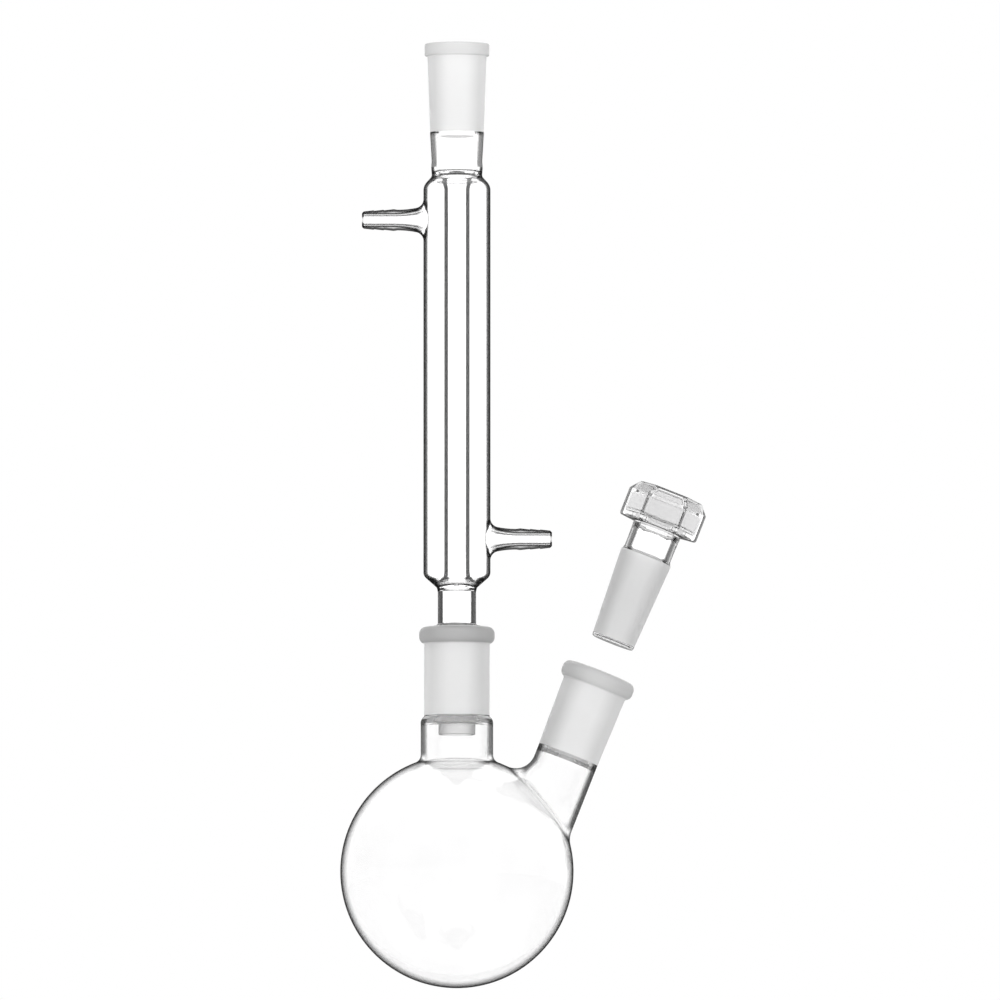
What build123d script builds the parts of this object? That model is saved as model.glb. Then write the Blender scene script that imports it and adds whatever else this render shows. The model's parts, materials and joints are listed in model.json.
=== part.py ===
from build123d import *
from math import cos, radians
import os

# A Liebig condenser seated in a two-neck round-bottom flask, with a hollow stopper drawn out of
# the side neck. Millimetres. Z runs up the condenser's axis from the lowest point of the bulb,
# and the side neck leans towards +X. Each of the three bodies of glass is welded from stock
# pieces, and each stock piece is one solid that meets its neighbours face to face.

# 24/40 ground joint, a taper of 1 in 10 on the diameter
GROUND_LENGTH = 40.0
GROUND_TOP_R = 12.0
GROUND_END_R = 10.0
GROUND_GAP = 0.05

# flask
BULB_R = 52.5
BULB_WALL = 1.9
LIP_TOP_Z = 162.8
LIP_R = 17.0
LIP_HEIGHT = 6.6
SOCKET_R = 14.75
CENTRE_NECK_R = 16.35
CENTRE_FILLET = 3.5
SHOULDER_HEIGHT = 6.5
SIDE_TILT = 21.5
SIDE_LIP_X = 64.8
SIDE_LIP_Z = 142.4
SIDE_NECK_R = 14.1
SIDE_FILLET = 9.0
NECK_WALL = 2.3
SIDE_TUBE_LENGTH = 75.0
CENTRE_ROOT_R = 21.0
SIDE_ROOT_R = 19.5
SIDE_ROOT_DEPTH = 107.0

# condenser
STEM_R = 8.65
STEM_WALL = 2.0
STEM_TOP_Z = 178.6
JACKET_R = 15.1
JACKET_WALL = 1.6
JACKET_LOW_Z = 187.6
JACKET_TOP_Z = 358.7
TUBE_R = 5.7
TUBE_WALL = 1.3
TOP_NECK_LOW_Z = 370.0
TOP_NECK_R = 11.6
TOP_NECK_WALL = 2.2
TOP_SOCKET_Z = 386.0
TOP_SOCKET_LOW_R = 12.1
TOP_SOCKET_HIGH_R = 13.3
TOP_RIM_R = 14.6
TOP_RIM_HEIGHT = 5.4
DRIP_R = 8.3
DRIP_WALL = 1.6
DRIP_END_Z = 114.0

# hose barbs
OUTLET_Z = 346.4
INLET_Z = 202.3
BARB_REACH = 27.7
BARB_BORE_R = 2.25
BARB_TIP_R = 3.9
BARB_TIP_ROUNDING = 0.8
BARB_RIDGE_STEP = 0.5
BARB_GROWTH = 0.25
BARB_PITCH = 4.5
BARB_RIDGES = 3
BARB_STRAIGHT = 16.0
BARB_ROOT_DEPTH = BARB_REACH + 6.4
BARB_ROOT_R = 8.6
BARB_ROOT_BORE_R = 6.6
BARB_FILLET = 4.0
BARB_SEAL_R = 10.4
BARB_ROOM = 60.0

# stopper
STOPPER_GAP = 14.0
STOPPER_END_LENGTH = 1.8
STOPPER_NECK_R = 11.3
STOPPER_NECK_LENGTH = 13.0
STOPPER_NECK_BORE_R = 7.9
HEAD_CORNER_R = 18.6
HEAD_SIDE_HEIGHT = 12.8
HEAD_BEVEL_HEIGHT = 4.6
HEAD_BEVEL_ANGLE = 36
HEAD_EDGE = 1.2
HEAD_COLLAR = 0.8
HEAD_WALL = 2.6

GROUND_END_Z = LIP_TOP_Z - GROUND_LENGTH
TOP_RIM_Z = TOP_SOCKET_Z + GROUND_LENGTH
CONE_TOP_R = GROUND_TOP_R - GROUND_GAP
CONE_END_R = GROUND_END_R - GROUND_GAP
STEM_BORE_R = STEM_R - STEM_WALL
JACKET_BORE_R = JACKET_R - JACKET_WALL
TUBE_BORE_R = TUBE_R - TUBE_WALL
TOP_NECK_BORE_R = TOP_NECK_R - TOP_NECK_WALL
CENTRE_BORE_R = CENTRE_NECK_R - NECK_WALL
SIDE_BORE_R = SIDE_NECK_R - NECK_WALL

# the side neck's own frame: its origin is the middle of the lip's top, and its Z points out
SIDE_FRAME = Location((SIDE_LIP_X, 0, SIDE_LIP_Z), (0, SIDE_TILT, 0))


def turned(*corners):
    """Revolve an outline about Z. A corner is (radius, height) or (radius, height, rounding)."""
    outline = Polyline(*[(corner[0], 0, corner[1]) for corner in corners], close=True)
    face = make_face(outline).face()
    for corner in corners:
        if len(corner) == 3:
            place = (corner[0], 0, corner[1])
            face = face.fillet_2d(corner[2], [face.vertices().sort_by_distance(place)[0]])
    return revolve(face, Axis.Z)


def blended(bulb_r, centre_r, side_r, centre_fillet, side_fillet, top_z):
    """A ball with an upright and a leaning rod grown out of it, rounded where they meet."""
    low = (Align.CENTER, Align.CENTER, Align.MIN)
    high = (Align.CENTER, Align.CENTER, Align.MAX)
    upright = Cylinder(centre_r, top_z - BULB_R, align=low)
    form = Pos(0, 0, BULB_R) * Sphere(bulb_r) + Pos(0, 0, BULB_R) * upright
    rings = form.edges().filter_by(GeomType.CIRCLE)
    form = fillet([ring for ring in rings if BULB_R < ring.center().Z < top_z - 1], centre_fillet)
    leaning = SIDE_FRAME * Pos(0, 0, -GROUND_LENGTH) * Cylinder(side_r, SIDE_TUBE_LENGTH, align=high)
    form += leaning
    seam = [edge for edge in form.edges() if edge.geom_type == GeomType.BSPLINE]
    return fillet(seam, side_fillet)


def flask_shell():
    """The flask below its sockets: the bulb and both clear necks as one wall of glass."""
    outside = blended(
        BULB_R, CENTRE_NECK_R, SIDE_NECK_R, CENTRE_FILLET, SIDE_FILLET, GROUND_END_Z - SHOULDER_HEIGHT
    )
    inside = blended(
        BULB_R - BULB_WALL,
        CENTRE_BORE_R,
        SIDE_BORE_R,
        CENTRE_FILLET + BULB_WALL,
        SIDE_FILLET + BULB_WALL,
        GROUND_END_Z - SHOULDER_HEIGHT,
    )
    return outside - inside


def largest(form):
    """The biggest solid of a cut."""
    return form.solids().sort_by(SortBy.VOLUME)[-1]


def flask_pieces():
    """The shell cut into the bulb's lower and upper halves and the roots of both necks."""
    shell = flask_shell()
    centre_cut = Pos(0, 0, BULB_R) * Cylinder(
        CENTRE_ROOT_R, LIP_TOP_Z, align=(Align.CENTER, Align.CENTER, Align.MIN)
    )
    side_cut = SIDE_FRAME * Cylinder(
        SIDE_ROOT_R, SIDE_ROOT_DEPTH, align=(Align.CENTER, Align.CENTER, Align.MAX)
    )
    centre = largest(shell & centre_cut)
    side = largest((shell - centre_cut) & side_cut)
    ball = shell - centre_cut - side_cut
    equator = Plane.XY.offset(BULB_R)
    return {
        "flask_bulb": largest(split(ball, equator, Keep.BOTTOM)),
        "flask_shoulder": largest(split(ball, equator, Keep.TOP)),
        # half a turn keeps the shoulder's seam off the shell's
        "centre_neck": centre + Rot(0, 0, 180) * neck_shoulder(),
        "side_neck": side + SIDE_FRAME * side_neck_collar(),
    }


def neck_shoulder():
    """Top of the centre neck, rounded in to the narrower socket above it."""
    low = GROUND_END_Z - SHOULDER_HEIGHT
    return turned(
        (CENTRE_BORE_R, low),
        (CENTRE_NECK_R, low),
        (CENTRE_NECK_R, GROUND_END_Z - 1.9, 3.0),
        (SOCKET_R, GROUND_END_Z - 0.5, 0.7),
        (SOCKET_R, GROUND_END_Z),
        (GROUND_END_R, GROUND_END_Z),
        (GROUND_END_R + 0.5, GROUND_END_Z - 1.8, 1.2),
        (CENTRE_BORE_R, GROUND_END_Z - 3.8, 2.2),
    )


def lipped_socket(low_r):
    """Ground socket with a round lip. Its own Z is 0 at the lip's top."""
    return turned(
        (GROUND_TOP_R, 0),
        (LIP_R, 0, 3.2),
        (LIP_R, -LIP_HEIGHT, 3.2),
        (SOCKET_R, -LIP_HEIGHT - 1.2, 0.9),
        (low_r, -GROUND_LENGTH),
        (GROUND_END_R, -GROUND_LENGTH),
    )


def side_neck_collar():
    """Inner shoulder that brings the side neck's bore in to the ground bore above it."""
    return turned(
        (GROUND_END_R, -GROUND_LENGTH),
        (SIDE_BORE_R, -GROUND_LENGTH),
        (SIDE_BORE_R, -GROUND_LENGTH - 3.2),
        (GROUND_END_R + 0.2, -GROUND_LENGTH - 1.2, 0.8),
    )


def bottom_cone():
    """The condenser's ground cone, thick at its top where the stem's bore opens out into it."""
    return turned(
        (STEM_BORE_R, LIP_TOP_Z),
        (CONE_TOP_R, LIP_TOP_Z, 0.4),
        (CONE_END_R, GROUND_END_Z),
        (GROUND_END_R - 2.1, GROUND_END_Z),
        (CONE_TOP_R - 2.4, LIP_TOP_Z - 5.0, 3.0),
        (STEM_BORE_R, LIP_TOP_Z - 1.0, 2.0),
    )


def drip_tip():
    """End of the vapour way: it closes in from the cone and then runs straight down."""
    return turned(
        (DRIP_R - DRIP_WALL, DRIP_END_Z, 0.6),
        (DRIP_R, DRIP_END_Z, 0.6),
        (DRIP_R, GROUND_END_Z - 2.0, 0.8),
        (CONE_END_R, GROUND_END_Z - 0.6, 0.3),
        (CONE_END_R, GROUND_END_Z),
        (GROUND_END_R - 2.1, GROUND_END_Z),
        (DRIP_R - DRIP_WALL, GROUND_END_Z - 2.6, 0.8),
    )


def stem():
    """Clear tube that spreads at its foot onto the top of the cone."""
    return turned(
        (STEM_BORE_R, LIP_TOP_Z),
        (CONE_TOP_R - 0.4, LIP_TOP_Z),
        (CONE_TOP_R - 1.4, LIP_TOP_Z + 0.5, 0.6),
        (STEM_R, LIP_TOP_Z + 0.9, 0.8),
        (STEM_R, STEM_TOP_Z),
        (STEM_BORE_R, STEM_TOP_Z),
    )


def lower_ring_seal():
    """The jacket and the vapour tube close into the stem, with the water space between them."""
    return turned(
        (STEM_BORE_R, STEM_TOP_Z),
        (STEM_R, STEM_TOP_Z),
        (STEM_R + 0.35, STEM_TOP_Z + 1.8, 1.6),
        (JACKET_R, JACKET_LOW_Z - 1.8, 3.7),
        (JACKET_R, JACKET_LOW_Z),
        (JACKET_BORE_R, JACKET_LOW_Z),
        (JACKET_BORE_R, JACKET_LOW_Z - 1.7, 3.0),
        (STEM_R - 0.5, STEM_TOP_Z + 3.6, 0.9),
        (TUBE_R + 0.5, STEM_TOP_Z + 6.0, 1.4),
        (TUBE_R, JACKET_LOW_Z),
        (TUBE_BORE_R, JACKET_LOW_Z),
        (TUBE_BORE_R + 0.5, STEM_TOP_Z + 5.4, 1.4),
        (STEM_BORE_R - 0.3, STEM_TOP_Z + 2.0, 1.0),
    )


def upper_ring_seal():
    """The jacket and the vapour tube close into the wider neck under the top socket."""
    return turned(
        (TOP_NECK_BORE_R, TOP_NECK_LOW_Z),
        (TOP_NECK_R, TOP_NECK_LOW_Z),
        (TOP_NECK_R - 0.3, JACKET_TOP_Z + 7.4, 2.0),
        (JACKET_R, JACKET_TOP_Z + 3.2, 5.4),
        (JACKET_R, JACKET_TOP_Z),
        (JACKET_BORE_R, JACKET_TOP_Z),
        (JACKET_BORE_R, JACKET_TOP_Z + 2.4, 4.4),
        (TOP_NECK_BORE_R + 0.3, JACKET_TOP_Z + 6.6, 0.7),
        (TUBE_R + 0.9, JACKET_TOP_Z + 5.9, 1.2),
        (TUBE_R, JACKET_TOP_Z + 2.0, 2.0),
        (TUBE_R, JACKET_TOP_Z),
        (TUBE_BORE_R, JACKET_TOP_Z),
        (TUBE_BORE_R, JACKET_TOP_Z + 2.4, 2.0),
        (TUBE_R, JACKET_TOP_Z + 7.0, 1.4),
        (TOP_NECK_BORE_R, TOP_NECK_LOW_Z - 1.6, 2.2),
    )


def top_neck():
    """Short clear tube under the top socket, drawn in a little at its foot."""
    return turned(
        (TOP_NECK_BORE_R, TOP_NECK_LOW_Z),
        (TOP_NECK_R, TOP_NECK_LOW_Z),
        (TOP_NECK_R - 0.2, TOP_NECK_LOW_Z + 3.0, 6.0),
        (TOP_SOCKET_LOW_R, TOP_SOCKET_Z - 1.0, 3.0),
        (TOP_SOCKET_LOW_R, TOP_SOCKET_Z),
        (GROUND_END_R, TOP_SOCKET_Z),
        (GROUND_END_R - 0.9, TOP_SOCKET_Z - 1.6, 1.0),
        (TOP_NECK_BORE_R, TOP_SOCKET_Z - 4.0, 1.6),
    )


def top_socket():
    """Ground socket with a short square rim."""
    return turned(
        (GROUND_END_R, TOP_SOCKET_Z),
        (TOP_SOCKET_LOW_R, TOP_SOCKET_Z),
        (TOP_SOCKET_HIGH_R, TOP_RIM_Z - TOP_RIM_HEIGHT - 0.4, 0.5),
        (TOP_RIM_R, TOP_RIM_Z - TOP_RIM_HEIGHT, 0.7),
        (TOP_RIM_R, TOP_RIM_Z, 0.8),
        (GROUND_TOP_R, TOP_RIM_Z),
    )


def tube(outer_r, bore_r, low_z, high_z):
    """Plain tube about Z."""
    return turned((bore_r, low_z), (outer_r, low_z), (outer_r, high_z), (bore_r, high_z))


def barb_outline():
    """Half outline of a hose barb's outside: radius against depth from its tip."""
    ridges = []
    for ridge in range(BARB_RIDGES):
        valley_r = BARB_TIP_R + ridge * BARB_GROWTH
        crest = BARB_TIP_ROUNDING + (ridge + 1) * BARB_PITCH
        ridges += [(valley_r, crest - BARB_PITCH), (valley_r + BARB_RIDGE_STEP, crest)]
    straight_r = BARB_TIP_R + BARB_RIDGES * BARB_GROWTH
    tip = Polyline(
        (0, BARB_ROOT_DEPTH),
        (0, 0),
        (BARB_TIP_R - BARB_TIP_ROUNDING, 0),
        *ridges,
        (straight_r, BARB_STRAIGHT),
    )
    flare = Spline(
        (straight_r, BARB_STRAIGHT),
        (BARB_ROOT_R, BARB_ROOT_DEPTH),
        tangents=[(0, 1), (0.4, 0.92)],
    )
    return make_face([tip, flare, Line(flare @ 1, tip @ 0)])


def barb_bore_outline():
    """Half outline of the water way through a hose barb, a little longer than the barb."""
    way_in = Polyline(
        (0, BARB_ROOT_DEPTH),
        (0, -1),
        (BARB_BORE_R, -1),
        (BARB_BORE_R, BARB_STRAIGHT - 1.5),
    )
    funnel = Spline(
        (BARB_BORE_R, BARB_STRAIGHT - 1.5),
        (BARB_ROOT_BORE_R, BARB_ROOT_DEPTH),
        tangents=[(0, 1), (0.4, 0.92)],
    )
    return make_face([way_in, funnel, Line(funnel @ 1, way_in @ 0)])


def grown_out(outline, wall_r, rounding, way, height):
    """A barb's outline turned about its axis, growing out of an upright rod. way is -1 or 1 along X."""
    tip = Pos(way * (JACKET_R + BARB_REACH), 0, height) * Rot(0, -90 * way, 0)
    form = tip * revolve(Plane.XZ * outline, Axis.Z) + Pos(0, 0, height) * Cylinder(wall_r, BARB_ROOM)
    across = [edge for edge in form.edges() if edge.geom_type == GeomType.BSPLINE]
    seam = [edge for edge in across if edge.bounding_box().size.Y > BARB_BORE_R]
    return fillet(seam, rounding)


def side_rod(way, height):
    """Round rod on a barb's axis that cuts the jacket's wall where the barb is sealed in."""
    rod = Cylinder(BARB_SEAL_R, JACKET_R * 3, align=(Align.CENTER, Align.CENTER, Align.MIN))
    return Pos(way * TUBE_R, 0, height) * Rot(0, 90 * way, 0) * rod


def barb(way, height):
    """Hose barb with the round of jacket wall that it was blown out of."""
    outside = grown_out(barb_outline(), JACKET_R, BARB_FILLET, way, height)
    inside = grown_out(barb_bore_outline(), JACKET_BORE_R, BARB_FILLET / 2, way, height)
    return (outside - inside) & side_rod(way, height)


def jacket():
    """Water jacket tube with a round hole in its wall for each hose barb."""
    body = tube(JACKET_R, JACKET_BORE_R, JACKET_LOW_Z, JACKET_TOP_Z)
    for way, height in ((-1, OUTLET_Z), (1, INLET_Z)):
        body -= side_rod(way, height)
    return body


def six_sided(corner_r, side_height, rounding):
    """Six-sided block with a bevelled top and rounded edges, standing on Z = 0."""
    block = extrude(RegularPolygon(corner_r, 6), side_height)
    rim = block.faces().sort_by(Axis.Z)[-1]
    block += extrude(rim, HEAD_BEVEL_HEIGHT, taper=HEAD_BEVEL_ANGLE)
    return fillet(block.edges(), rounding)


def stopper_head():
    """Six-sided hollow head with a bevelled top. Its own Z is 0 where its collar meets the neck."""
    low = (Align.CENTER, Align.CENTER, Align.MIN)
    head = Pos(0, 0, HEAD_COLLAR) * six_sided(HEAD_CORNER_R, HEAD_SIDE_HEIGHT, HEAD_EDGE)
    head += Cylinder(STOPPER_NECK_R, HEAD_COLLAR * 2, align=low)
    root = head.edges().filter_by(GeomType.CIRCLE).sort_by(Axis.Z)[1]
    head = fillet(root, HEAD_COLLAR * 0.9)
    cavity = Pos(0, 0, HEAD_COLLAR + HEAD_WALL) * six_sided(
        HEAD_CORNER_R - HEAD_WALL / cos(radians(30)),
        HEAD_SIDE_HEIGHT - HEAD_WALL * 1.6,
        HEAD_EDGE * 1.6,
    )
    return head - cavity - Cylinder(STOPPER_NECK_BORE_R, HEAD_SIDE_HEIGHT, align=low)


def stopper_pieces():
    """The stopper's four pieces on the side neck's axis, from the closed end to the head."""
    cone_top = STOPPER_GAP + STOPPER_END_LENGTH + GROUND_LENGTH
    end_bore_r = CONE_END_R - 2.4
    cone = Pos(0, 0, cone_top) * turned(
        (STOPPER_NECK_BORE_R + 1.4, 0),
        (CONE_TOP_R, 0, 0.4),
        (CONE_END_R, -GROUND_LENGTH),
        (end_bore_r, -GROUND_LENGTH),
    )
    end = Pos(0, 0, cone_top - GROUND_LENGTH) * turned(
        (0, -0.5),
        (end_bore_r, -0.5, 0.4),
        (end_bore_r, 0),
        (CONE_END_R, 0),
        (CONE_END_R - 0.2, -STOPPER_END_LENGTH, 1.0),
        (0, -STOPPER_END_LENGTH),
    )
    neck = Pos(0, 0, cone_top) * turned(
        (STOPPER_NECK_BORE_R + 1.4, 0),
        (CONE_TOP_R - 0.4, 0),
        (STOPPER_NECK_R - 0.3, 1.6, 1.0),
        (STOPPER_NECK_R - 0.3, STOPPER_NECK_LENGTH / 2, 8.0),
        (STOPPER_NECK_R, STOPPER_NECK_LENGTH),
        (STOPPER_NECK_BORE_R, STOPPER_NECK_LENGTH),
    )
    head = Pos(0, 0, cone_top + STOPPER_NECK_LENGTH) * stopper_head()
    pieces = {"stopper_end": end, "stopper_cone": cone, "stopper_neck": neck, "stopper_head": head}
    return {name: SIDE_FRAME * piece for name, piece in pieces.items()}


def all_pieces():
    """Every node's name and its solid."""
    pieces = flask_pieces()
    pieces |= {
        "centre_socket": Pos(0, 0, LIP_TOP_Z) * lipped_socket(SOCKET_R),
        "side_socket": SIDE_FRAME * lipped_socket(SIDE_NECK_R),
        "condenser_drip_tip": drip_tip(),
        "condenser_bottom_cone": bottom_cone(),
        "condenser_stem": stem(),
        "lower_ring_seal": lower_ring_seal(),
        "condenser_inner_tube": tube(TUBE_R, TUBE_BORE_R, JACKET_LOW_Z, JACKET_TOP_Z),
        "condenser_jacket": jacket(),
        "upper_ring_seal": upper_ring_seal(),
        "condenser_top_neck": top_neck(),
        "condenser_top_socket": top_socket(),
        "water_outlet_barb": barb(-1, OUTLET_Z),
        "water_inlet_barb": barb(1, INLET_Z),
    }
    return pieces | stopper_pieces()


os.makedirs("parts", exist_ok=True)
for name, piece in all_pieces().items():
    export_step(piece, f"parts/{name}.step")
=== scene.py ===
import json
from math import cos, radians, sin

import bpy
import numpy as np
from mathutils import Euler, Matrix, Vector
from mathutils.bvhtree import BVHTree


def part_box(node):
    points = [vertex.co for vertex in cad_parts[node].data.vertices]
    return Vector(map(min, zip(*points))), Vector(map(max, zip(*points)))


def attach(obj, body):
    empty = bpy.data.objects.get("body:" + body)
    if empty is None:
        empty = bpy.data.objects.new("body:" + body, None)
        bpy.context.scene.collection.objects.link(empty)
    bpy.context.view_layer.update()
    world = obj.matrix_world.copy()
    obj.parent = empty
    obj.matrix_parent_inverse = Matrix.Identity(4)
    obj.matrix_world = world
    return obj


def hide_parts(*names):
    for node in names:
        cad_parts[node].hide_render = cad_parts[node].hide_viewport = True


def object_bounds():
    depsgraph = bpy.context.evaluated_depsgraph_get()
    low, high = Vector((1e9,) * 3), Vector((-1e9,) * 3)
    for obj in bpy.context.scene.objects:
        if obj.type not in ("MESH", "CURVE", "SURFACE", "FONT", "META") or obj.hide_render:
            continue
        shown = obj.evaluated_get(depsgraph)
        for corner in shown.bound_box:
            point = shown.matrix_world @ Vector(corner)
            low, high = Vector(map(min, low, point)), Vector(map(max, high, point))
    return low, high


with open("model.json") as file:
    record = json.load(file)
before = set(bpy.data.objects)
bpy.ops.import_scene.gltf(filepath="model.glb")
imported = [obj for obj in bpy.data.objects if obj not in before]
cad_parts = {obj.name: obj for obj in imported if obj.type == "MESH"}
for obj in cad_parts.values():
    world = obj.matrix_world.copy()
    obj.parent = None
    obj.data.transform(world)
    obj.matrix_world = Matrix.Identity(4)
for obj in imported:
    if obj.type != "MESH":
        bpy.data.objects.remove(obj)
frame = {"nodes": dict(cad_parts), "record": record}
cad_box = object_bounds()

# What the camera sees: a tall narrow set, looked at from a little below its middle.
VIEW_HEIGHT = 0.4504
VIEW_CENTRE = Vector((0.0194, 0.0, 0.2200))
VIEW_BELOW = radians(3.5)
CAMERA_DISTANCE = 12.0
CAMERA_REACH = 50.0
SENSOR = 0.036

FLOOR_DROP = 0.9
FLOOR_RADIUS = 16.0
FLOOR_SIDES = 96
FLOOR_SHADES = [(0.0, 0.74), (1.0, 0.78)]

# The studio has its high strength towards this way, and its low strength the other way.
LIGHT_FROM = (0.25, 0.1, 0.96)
LIGHT_LOW = 0.95
LIGHT_HIGH = 1.65

# Two pieces of one body are welded where their faces meet this closely and look at each other.
WELD_GAP = 0.00003
WELD_FACING = -0.9

# Points that share this many decimals of a metre are one point.
POINT_DECIMALS = 8

GLASS_IOR = 1.47
BODIES = frame["record"]["behaviour"]["bodies"]

# Sizes of the glass, from the CAD nodes' boxes.
BULB_LOW, BULB_HIGH = (Vector(corner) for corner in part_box("flask_bulb"))
BULB_R = (BULB_HIGH.x - BULB_LOW.x) / 2
BULB_CENTRE = (0.0, 0.0, BULB_LOW.z + BULB_R)
JACKET_LOW, JACKET_HIGH = (Vector(corner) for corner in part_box("condenser_jacket"))
JACKET_R = (JACKET_HIGH.x - JACKET_LOW.x) / 2
HEAD_LOW, HEAD_HIGH = (Vector(corner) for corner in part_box("stopper_head"))

# Where a ring seal turns from inner tube into jacket, and where the sockets' lips start.
SEAL_R = 0.0062
TOP_LIP_R = 0.0136
LIP_R = 0.0152

# A line is a point on it and its direction. With no direction it is only the point.
NO_AXIS = (0.0, 0.0, 0.0)
UPRIGHT = ((0.0, 0.0, 0.0), (0.0, 0.0, 1.0))
SIDE_MOUNT = next(m for m in frame["record"]["mounts"] if m["name"] == "side_neck_socket")
SIDEWAYS = (tuple(SIDE_MOUNT["pos_m"]), tuple(SIDE_MOUNT["axis"]))
# The line or point that each node is hollow around, where that isn't UPRIGHT.
AXES = {
    "flask_bulb": (BULB_CENTRE, NO_AXIS),
    "flask_shoulder": (BULB_CENTRE, NO_AXIS),
    "side_neck": SIDEWAYS,
    "side_socket": SIDEWAYS,
    "stopper_head": (tuple((HEAD_LOW + HEAD_HIGH) / 2), NO_AXIS),
    "stopper_neck": SIDEWAYS,
    "stopper_cone": SIDEWAYS,
    "stopper_end": SIDEWAYS,
}

# A hose barb's faces count as inside once they are this deep in the jacket's wall.
BARBS = ("water_outlet_barb", "water_inlet_barb")
BARB_DEPTH = 0.0001

# A face looks inward when its normal and its way out from the axis have a dot product below INWARD.
# It is a piece's end when it looks along the axis by more than its node's FLAT, or else FLAT_USUAL,
# and lies further than END_REACH bulb radii from the bulb's centre.
INWARD = -0.02
FLAT = {"condenser_stem": 0.3, "centre_neck": 0.45, "side_neck": 0.45}
FLAT_USUAL = 0.8
END_REACH = 1.25

# Painted shade by Facing, from face on at 0 to edge on at 1. Clear glass is darkened where it is
# seen edge on, which paints its dark outlines, and GROUND_STOPS paints the ground glass's greyer
# sides.
# A clear wall turns dark about where it starts. The flask's necks and the stem turn light again
# near 1, so that their rounded ends stay light.
BULB_STOPS = [(0.66, 1.0), (0.78, 0.35), (0.86, 0.05), (1.0, 0.01)]
NECK_STOPS = [(0.41, 1.0), (0.54, 0.22), (0.86, 0.1), (0.93, 0.75), (1.0, 0.85)]
SIDE_NECK_STOPS = [(0.39, 1.0), (0.53, 0.16), (0.86, 0.05), (0.93, 0.75), (1.0, 0.85)]
JACKET_STOPS = [(0.48, 1.0), (0.57, 0.12), (0.72, 0.03), (1.0, 0.1)]
TUBE_STOPS = [(0.26, 1.0), (0.33, 0.04), (1.0, 0.08)]
STEM_STOPS = [(0.27, 1.0), (0.36, 0.06), (0.86, 0.14), (0.93, 0.8), (1.0, 0.9)]
TOP_NECK_STOPS = [(0.34, 1.0), (0.45, 0.24), (1.0, 0.12)]
BARB_STOPS = [(0.22, 1.0), (0.4, 0.08), (1.0, 0.02)]
HEAD_STOPS = [(0.52, 1.0), (0.72, 0.4), (1.0, 0.04)]
STOPPER_NECK_STOPS = [(0.26, 1.0), (0.35, 0.14), (0.52, 0.2), (0.64, 0.6), (1.0, 0.3)]
STOPPER_END_STOPS = [(0.6, 1.0), (0.8, 0.5), (1.0, 0.15)]
INSIDE_STOPS = [(0.72, 1.0), (0.92, 0.3), (1.0, 0.2)]
GROUND_STOPS = [(0.05, 1.0), (0.11, 0.95), (0.2, 0.88), (0.35, 0.78), (1.0, 0.7)]

# Ground glass has a grain this fine and this deep, and a roughness that follows it.
GRAIN_SCALE = 2600.0
GRAIN_DEPTH = 0.00005
GRAIN_ROUGHNESS = (0.4, 0.6)

# How fine the clouds in each glass are, and how much darker the ground glass's cloud is.
CLEAR_CLOUD = 35.0
GROUND_CLOUD = 60.0
GROUND_DARKER = 0.012

# Clear glass tints, as the darker and the lighter colour of a faint cloud. The last, for the stopper
# head's inside, is a painted grey shade rather than a tint.
PLAIN = ((0.994, 0.9935, 0.994), (1.0, 0.9995, 1.0))
TINTED = ((0.922, 0.9215, 0.922), (0.938, 0.9375, 0.938))
SHADE_GREY = ((0.72, 0.718, 0.72), (0.76, 0.759, 0.76))

# Past a ball or rod, a node that grows out of another has painted-shade stops of its own, from SKIN
# past the wall and over STOPS_BLEND. A lip's painted shade starts over LIP_BLEND, and edge on it has
# LIP_EDGE of its shade.
SKIN = 0.0002
STOPS_BLEND = 0.003
LIP_BLEND = 0.0004
LIP_EDGE = 0.7
PAST_BULB = (BULB_CENTRE, NO_AXIS, BULB_R + SKIN)
FLASK = (TINTED, BULB_STOPS, (*PAST_BULB, NECK_STOPS))
SEAL = (PLAIN, TUBE_STOPS, (*UPRIGHT, SEAL_R, JACKET_STOPS))
BARB = (PLAIN, JACKET_STOPS, (*UPRIGHT, JACKET_R + SKIN, BARB_STOPS))

# Each clear node's tint, its painted-shade stops, and where other stops hold.
CLEAR = {
    "flask_bulb": FLASK,
    "flask_shoulder": FLASK,
    "centre_neck": FLASK,
    "side_neck": (TINTED, BULB_STOPS, (*PAST_BULB, SIDE_NECK_STOPS)),
    "condenser_jacket": (PLAIN, JACKET_STOPS),
    "condenser_inner_tube": (PLAIN, TUBE_STOPS),
    "condenser_stem": (PLAIN, STEM_STOPS),
    "condenser_top_neck": (PLAIN, TOP_NECK_STOPS),
    "lower_ring_seal": SEAL,
    "upper_ring_seal": SEAL,
    "water_outlet_barb": BARB,
    "water_inlet_barb": BARB,
    "stopper_head": (PLAIN, HEAD_STOPS),
    "stopper_neck": (PLAIN, STOPPER_NECK_STOPS),
    "stopper_end": (PLAIN, STOPPER_END_STOPS),
}

# How white each ground node is, which is a painted light or shade set per piece, how much light
# passes on, and a socket's lip: past which rod its painted shade starts, and that shade.
GROUND = {
    "condenser_top_socket": (0.965, 0.5, (*UPRIGHT, TOP_LIP_R, 0.77)),
    "centre_socket": (1.0, 0.55, (*UPRIGHT, LIP_R, 0.49)),
    "side_socket": (0.9, 0.5, (*SIDEWAYS, LIP_R, 0.68)),
    "condenser_bottom_cone": (1.0, 0.6),
    "condenser_drip_tip": (1.0, 0.85),
    "stopper_cone": (0.82, 0.5),
}

# The Mix node's two colour inputs and its colour output, by number.
MIX_FIRST = 6
MIX_SECOND = 7
MIX_OUT = 2


# ---- materials -------------------------------------------------------------------------------


def new_material(name):
    """An empty material and its node tree."""
    material = bpy.data.materials.new(name)
    material.use_nodes = True
    material.node_tree.nodes.clear()
    return material, material.node_tree


def add(tree, kind, **values):
    """A new node, with values for its inputs by name and for its own settings."""
    node = tree.nodes.new(kind)
    for key, value in values.items():
        if key in node.inputs:
            node.inputs[key].default_value = value
        else:
            setattr(node, key, value)
    return node


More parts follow.
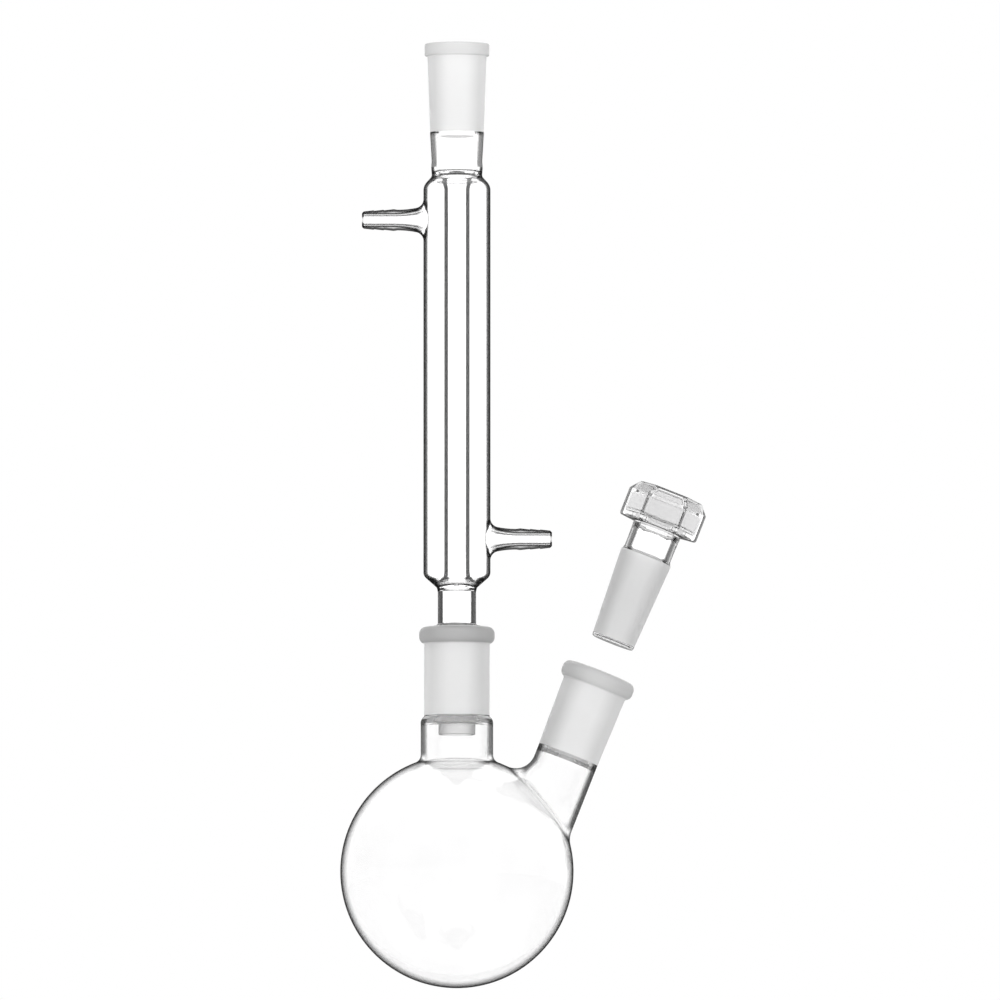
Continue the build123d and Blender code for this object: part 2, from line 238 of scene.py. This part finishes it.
def ramp(tree, source, stops):
    """A grey that follows an output, from (place, shade) stops."""
    node = add(tree, "ShaderNodeValToRGB")
    node.color_ramp.interpolation = "LINEAR"
    while len(node.color_ramp.elements) < len(stops):
        node.color_ramp.elements.new(0.5)
    for element, (place, shade) in zip(node.color_ramp.elements, stops):
        element.position = place
        element.color = (shade, shade, shade, 1)
    tree.links.new(source, node.inputs["Fac"])
    return node.outputs["Color"]


def multiply(tree, first, second):
    """Two colour outputs multiplied."""
    node = add(tree, "ShaderNodeMix", data_type="RGBA", blend_type="MULTIPLY")
    node.inputs["Factor"].default_value = 1.0
    tree.links.new(first, node.inputs[MIX_FIRST])
    tree.links.new(second, node.inputs[MIX_SECOND])
    return node.outputs[MIX_OUT]


def cloud(tree, scale, darker, lighter):
    """Soft cloudy tint between two colours, in the object's own space."""
    place = add(tree, "ShaderNodeTexCoord")
    noise = add(tree, "ShaderNodeTexNoise", Scale=scale, Detail=3.0, Roughness=0.5)
    tree.links.new(place.outputs["Object"], noise.inputs["Vector"])
    node = add(tree, "ShaderNodeValToRGB")
    node.color_ramp.elements[0].position = 0.3
    node.color_ramp.elements[0].color = (*darker, 1)
    node.color_ramp.elements[1].position = 0.7
    node.color_ramp.elements[1].color = (*lighter, 1)
    tree.links.new(noise.outputs["Fac"], node.inputs["Fac"])
    return node.outputs["Color"]


def beyond(tree, centre, axis, radius, soft):
    """0 nearer than radius to the line through centre along axis, 1 from soft further out.

    With NO_AXIS it is the distance to centre that counts.
    """
    place = add(tree, "ShaderNodeTexCoord")
    offset = add(tree, "ShaderNodeVectorMath", operation="SUBTRACT")
    offset.inputs[1].default_value = centre
    tree.links.new(place.outputs["Object"], offset.inputs[0])
    along = add(tree, "ShaderNodeVectorMath", operation="PROJECT")
    along.inputs[1].default_value = axis
    tree.links.new(offset.outputs["Vector"], along.inputs[0])
    across = add(tree, "ShaderNodeVectorMath", operation="DISTANCE")
    tree.links.new(offset.outputs["Vector"], across.inputs[0])
    tree.links.new(along.outputs["Vector"], across.inputs[1])
    past = add(tree, "ShaderNodeMapRange", interpolation_type="SMOOTHSTEP")
    past.inputs["From Min"].default_value = radius
    past.inputs["From Max"].default_value = radius + soft
    tree.links.new(across.outputs["Value"], past.inputs["Value"])
    return past.outputs["Result"]


def mixed(tree, factor, first, second):
    """The first colour where factor is 0, the second where it is 1."""
    node = add(tree, "ShaderNodeMix", data_type="RGBA")
    tree.links.new(factor, node.inputs["Factor"])
    tree.links.new(first, node.inputs[MIX_FIRST])
    tree.links.new(second, node.inputs[MIX_SECOND])
    return node.outputs[MIX_OUT]


def clear_glass(name, tint, stops=None, grown=None):
    """Clear glass with painted shade: it darkens where it is seen edge on, as (Facing, shade) stops
    say.

    grown is (centre, axis, radius, other stops): past that ball or rod the other stops hold.
    """
    material, tree = new_material(name)
    link = tree.links.new
    colour = cloud(tree, CLEAR_CLOUD, *tint)
    # Painted shade: the glass's colour darkens where it is seen edge on, for its dark outlines.
    if stops:
        facing = add(tree, "ShaderNodeLayerWeight", Blend=0.5).outputs["Facing"]
        shade = ramp(tree, facing, stops)
        if grown:
            past = beyond(tree, *grown[:3], STOPS_BLEND)
            shade = mixed(tree, past, shade, ramp(tree, facing, grown[3]))
        colour = multiply(tree, colour, shade)
    glass = add(tree, "ShaderNodeBsdfGlass", Roughness=0.0, IOR=GLASS_IOR)
    link(colour, glass.inputs["Color"])
    out = add(tree, "ShaderNodeOutputMaterial")
    link(glass.outputs["BSDF"], out.inputs["Surface"])
    return material


def ground_glass(name, white, through, lip=None):
    """Finely ground glass: milky, with a fine grain, and a painted shade that greys its sides.

    white is its shade seen face on, a painted light or shade set per node, and through is how
    much light passes on. lip is (centre, axis, radius, shade) for the painted shade of the solid lip
    past that rod.
    """
    material, tree = new_material(name)
    link = tree.links.new
    place = add(tree, "ShaderNodeTexCoord")
    grain = add(tree, "ShaderNodeTexNoise", Scale=GRAIN_SCALE, Detail=2.0, Roughness=0.6)
    link(place.outputs["Object"], grain.inputs["Vector"])
    facing = add(tree, "ShaderNodeLayerWeight", Blend=0.5).outputs["Facing"]
    # Painted shade: the sides turn greyer edge on.
    shade = ramp(tree, facing, GROUND_STOPS)
    # Painted shade: the solid lip is darker, and darker still edge on.
    if lip:
        lip_stops = [(0.0, lip[3]), (1.0, lip[3] * LIP_EDGE)]
        past = beyond(tree, *lip[:3], LIP_BLEND)
        shade = mixed(tree, past, shade, ramp(tree, facing, lip_stops))
    # white, set per node, is a painted light or shade; the cloud is a random change of tone.
    tint = cloud(tree, GROUND_CLOUD, (white - GROUND_DARKER,) * 3, (white,) * 3)
    rough = add(tree, "ShaderNodeMapRange")
    rough.inputs["To Min"].default_value = GRAIN_ROUGHNESS[0]
    rough.inputs["To Max"].default_value = GRAIN_ROUGHNESS[1]
    link(grain.outputs["Fac"], rough.inputs["Value"])
    bump = add(tree, "ShaderNodeBump", Strength=0.15, Distance=GRAIN_DEPTH)
    link(grain.outputs["Fac"], bump.inputs["Height"])
    surface = add(tree, "ShaderNodeBsdfPrincipled", IOR=GLASS_IOR)
    surface.inputs["Transmission Weight"].default_value = through
    link(multiply(tree, tint, shade), surface.inputs["Base Color"])
    link(rough.outputs["Result"], surface.inputs["Roughness"])
    link(bump.outputs["Normal"], surface.inputs["Normal"])
    out = add(tree, "ShaderNodeOutputMaterial")
    link(surface.outputs["BSDF"], out.inputs["Surface"])
    return material


def floor_paint():
    """Matt pale paint, with a slow change of shade."""
    material, tree = new_material("pale_floor")
    link = tree.links.new
    place = add(tree, "ShaderNodeTexCoord")
    noise = add(tree, "ShaderNodeTexNoise", Scale=1.5, Detail=2.0)
    link(place.outputs["Object"], noise.inputs["Vector"])
    surface = add(tree, "ShaderNodeBsdfPrincipled", Roughness=0.9)
    link(ramp(tree, noise.outputs["Fac"], FLOOR_SHADES), surface.inputs["Base Color"])
    out = add(tree, "ShaderNodeOutputMaterial")
    link(surface.outputs["BSDF"], out.inputs["Surface"])
    return material


# ---- pieces ----------------------------------------------------------------------------------


def mesh_arrays(node):
    """A CAD node's points, its faces as lists of point numbers, and each face corner's normal."""
    mesh = node.data
    points = np.array([v.co for v in mesh.vertices], float)
    faces = [list(p.vertices) for p in mesh.polygons]
    corners = [[tuple(mesh.corner_normals[i].vector) for i in p.loop_indices] for p in mesh.polygons]
    return points, faces, corners


def near_box(points, node):
    """Which points lie in a CAD node's box, or within WELD_GAP of it."""
    low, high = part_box(node)
    inside = (points >= np.array(low) - WELD_GAP) & (points <= np.array(high) + WELD_GAP)
    return inside.all(axis=1)


def welded_faces(points, faces, others):
    """Numbers of the faces that lie on one of the other nodes of the body, facing into it."""
    welded = set()
    for other in others:
        close = near_box(points, other)
        if not close.any():
            continue
        tree = BVHTree.FromPolygons(SHAPES[other][0].tolist(), SHAPES[other][1])
        for number, face in enumerate(faces):
            if not close[face].all():
                continue
            spots = [Vector(points[i]) for i in face]
            middle = sum(spots, Vector()) / len(spots)
            normal = (spots[1] - spots[0]).cross(spots[2] - spots[0]).normalized()
            hit = tree.find_nearest(middle, WELD_GAP)
            if hit[0] is None or normal.dot(hit[1]) > WELD_FACING:
                continue
            if all(tree.find_nearest(spot, WELD_GAP)[0] is not None for spot in spots):
                welded.add(number)
    return welded


def stays_clear(spots, node):
    """True for a face inside a wall, which looks towards its node's own axis or centre.

    It is also true for a piece's end, and for the part of a hose barb that lies inside the jacket.
    """
    middle = sum(spots, Vector()) / len(spots)
    if node in BARBS:
        return middle.xy.length < JACKET_R - BARB_DEPTH
    centre, axis = AXES.get(node, UPRIGHT)
    outward = middle - Vector(centre)
    outward -= Vector(axis) * outward.dot(axis)
    normal = (spots[1] - spots[0]).cross(spots[2] - spots[0]).normalized()
    far = (middle - Vector(BULB_CENTRE)).length > BULB_R * END_REACH
    end = far and abs(normal.dot(Vector(axis))) > FLAT.get(node, FLAT_USUAL)
    return end or normal.dot(outward.normalized()) < INWARD


def open_piece(node, others):
    """A copy of a CAD node without its welds, so that light meets only the glass's real surface.

    Faces that stay clear get the piece's second material.
    """
    points, faces, corners = SHAPES[node]
    welded = welded_faces(points, faces, others)
    kept = [i for i in range(len(faces)) if i not in welded]
    rounded = np.round(points, POINT_DECIMALS)
    unique, number = np.unique(rounded, axis=0, return_inverse=True)
    number = number.reshape(-1)
    new_faces, normals, inside = [], [], []
    for i in kept:
        face = [int(number[p]) for p in faces[i]]
        if len(set(face)) < len(face):
            continue
        new_faces.append(face)
        normals += corners[i]
        inside.append(stays_clear([Vector(points[p]) for p in faces[i]], node))
    used = sorted({p for face in new_faces for p in face})
    order = {p: i for i, p in enumerate(used)}
    new_faces = [[order[p] for p in face] for face in new_faces]
    mesh = bpy.data.meshes.new(node + "_glass")
    mesh.from_pydata(unique[used].tolist(), [], new_faces)
    for polygon, within in zip(mesh.polygons, inside):
        polygon.use_smooth = True
        polygon.material_index = int(within)
    mesh.normals_split_custom_set(normals)
    piece = bpy.data.objects.new(node + "_glass", mesh)
    bpy.context.scene.collection.objects.link(piece)
    return piece


# ---- the set ---------------------------------------------------------------------------------

SHAPES = {name: mesh_arrays(node) for name, node in frame["nodes"].items()}

# What the faces that stay clear are made of. A node that isn't in INSIDES has clear_inside, or its
# own ground glass.
# clear_inside and neck_inside darken edge on, a painted shade, and the stopper head's inside is a
# painted grey shade.
clear_inside = clear_glass("clear_inside", PLAIN, INSIDE_STOPS)
bulb_inside = clear_glass("bulb_inside", TINTED)
neck_inside = clear_glass("neck_inside", TINTED, INSIDE_STOPS)
head_inside_shade = clear_glass("head_inside_shade", SHADE_GREY)
INSIDES = {
    "flask_bulb": bulb_inside,
    "flask_shoulder": bulb_inside,
    "centre_neck": neck_inside,
    "side_neck": neck_inside,
    "stopper_head": head_inside_shade,
    "condenser_bottom_cone": clear_inside,
    "condenser_drip_tip": clear_inside,
}
for body, nodes in BODIES.items():
    for node in nodes:
        piece = open_piece(node, [n for n in nodes if n != node])
        if node in GROUND:
            milky = ground_glass(node + "_ground", *GROUND[node])
            piece.data.materials.append(milky)
            piece.data.materials.append(INSIDES.get(node, milky))
        else:
            piece.data.materials.append(clear_glass(node + "_clear", *CLEAR[node]))
            piece.data.materials.append(INSIDES.get(node, clear_inside))
        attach(piece, body)
        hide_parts(node)


# ---- floor, light and camera -----------------------------------------------------------------


def make_floor():
    bpy.ops.mesh.primitive_circle_add(vertices=FLOOR_SIDES, radius=FLOOR_RADIUS, fill_type="NGON")
    floor = bpy.context.object
    floor.name = "floor"
    floor.location = (0, 0, cad_box[0][2] - FLOOR_DROP)
    floor.data.materials.append(floor_paint())


def make_world():
    """White to the eye, and a soft white studio, brighter above and to the right, to the glass."""
    world = bpy.data.worlds.new("studio")
    bpy.context.scene.world = world
    world.use_nodes = True
    tree = world.node_tree
    tree.nodes.clear()
    link = tree.links.new
    place = add(tree, "ShaderNodeTexCoord")
    side = add(tree, "ShaderNodeVectorMath", operation="DOT_PRODUCT")
    side.inputs[1].default_value = LIGHT_FROM
    link(place.outputs["Generated"], side.inputs[0])
    level = add(tree, "ShaderNodeMapRange")
    level.inputs["From Min"].default_value = -1
    level.inputs["To Min"].default_value = LIGHT_LOW
    level.inputs["To Max"].default_value = LIGHT_HIGH
    link(side.outputs["Value"], level.inputs["Value"])
    light = add(tree, "ShaderNodeBackground", Color=(1, 1, 1, 1))
    link(level.outputs["Result"], light.inputs["Strength"])
    plain = add(tree, "ShaderNodeBackground", Color=(1, 1, 1, 1), Strength=1.0)
    path = add(tree, "ShaderNodeLightPath")
    mix = add(tree, "ShaderNodeMixShader")
    link(path.outputs["Is Camera Ray"], mix.inputs["Fac"])
    link(light.outputs["Background"], mix.inputs[1])
    link(plain.outputs["Background"], mix.inputs[2])
    out = add(tree, "ShaderNodeOutputWorld")
    link(mix.outputs["Shader"], out.inputs["Surface"])


def make_camera():
    camera = bpy.data.cameras.new("camera")
    camera.sensor_width = SENSOR * 1000
    camera.lens = SENSOR * 1000 * CAMERA_DISTANCE / VIEW_HEIGHT
    camera.clip_end = CAMERA_REACH
    holder = bpy.data.objects.new("camera", camera)
    bpy.context.scene.collection.objects.link(holder)
    back = Vector((0, -cos(VIEW_BELOW), -sin(VIEW_BELOW)))
    holder.location = VIEW_CENTRE + back * CAMERA_DISTANCE
    holder.rotation_euler = Euler((radians(90) + VIEW_BELOW, 0, 0))
    bpy.context.scene.camera = holder


make_floor()
make_world()
make_camera()
scene = bpy.context.scene
scene.view_settings.view_transform = "Standard"
scene.cycles.max_bounces = 32
scene.cycles.transmission_bounces = 32
scene.cycles.transparent_max_bounces = 32
scene.cycles.glossy_bounces = 12
